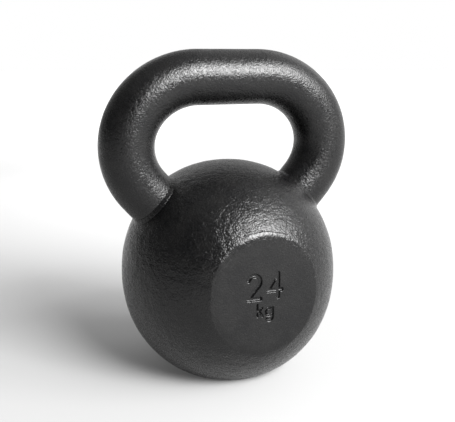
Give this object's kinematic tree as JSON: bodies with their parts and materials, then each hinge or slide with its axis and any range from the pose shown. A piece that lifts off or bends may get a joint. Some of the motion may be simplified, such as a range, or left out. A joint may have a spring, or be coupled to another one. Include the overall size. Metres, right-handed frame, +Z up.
{
  "type": "kettlebell",
  "caption": "Cast-iron kettlebell: a ball with a flat base and flat faces front and back, and a thick round bar handle with rounded shoulders, all in black enamel.",
  "frame": {"origin": "centre of the flat base, on the floor", "axes": "+Z up through the ball to the grip, +X along the grip, and the face with the weight figures looks towards -Y"},
  "size_m": [0.2084, 0.1536, 0.2587],
  "materials": {
    "enamelled_iron": "satin",
    "enamelled_bar": "satin",
    "enamelled_weld": "satin"
  },
  "bodies": {
    "root": {"ball_casting": "enamelled_iron", "handle_bar": "enamelled_bar", "weld_bead_left": "enamelled_weld", "weld_bead_right": "enamelled_weld"}
  },
  "joints": []
}
